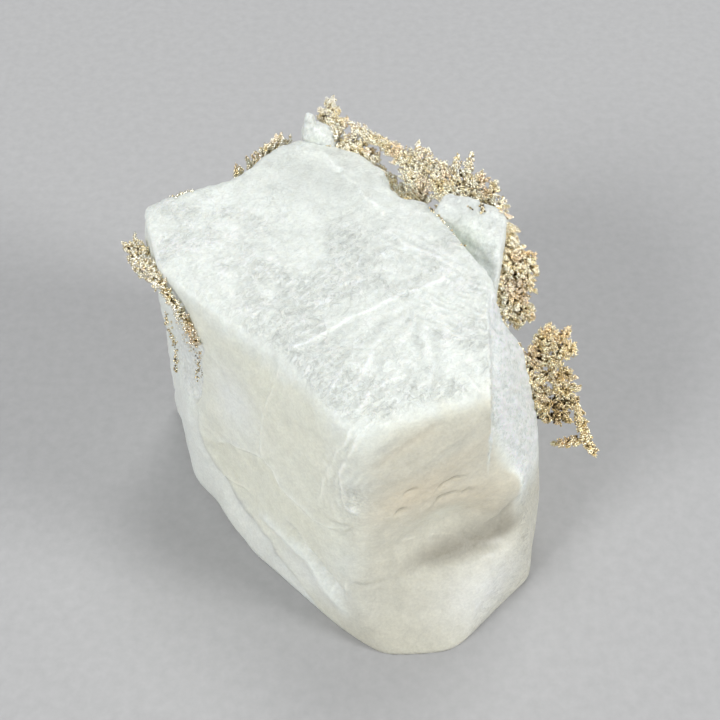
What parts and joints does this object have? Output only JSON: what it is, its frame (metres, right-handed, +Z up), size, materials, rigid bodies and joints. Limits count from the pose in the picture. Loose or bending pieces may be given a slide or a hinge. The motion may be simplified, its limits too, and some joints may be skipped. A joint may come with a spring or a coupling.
{
  "type": "calcite specimen",
  "caption": "Blocky etched calcite crystal standing on a flat base, with sprays of dendritic native silver along its back edge and sides.",
  "frame": {"origin": "middle of the specimen's footprint, on the flat underside of the block", "axes": "+Z up out of the upper cleavage face, -Y towards the blunt front corner and the toe, +Y towards the apex where the silver stands"},
  "size_m": [0.0502, 0.05, 0.0354],
  "materials": {
    "calcite": "satin",
    "silver": "satin"
  },
  "bodies": {
    "root": {"calcite_block": "calcite", "calcite_rear_crystal": "calcite", "calcite_tip_crystal": "calcite", "silver_tip_spray": "silver", "silver_crest_fern": "silver", "silver_shoulder_fern": "silver", "silver_right_spray": "silver", "silver_low_spray": "silver", "silver_tail": "silver", "silver_side_tuft": "silver", "silver_side_vein": "silver", "silver_back_left_fern": "silver", "silver_back_right_fern": "silver"}
  },
  "joints": []
}
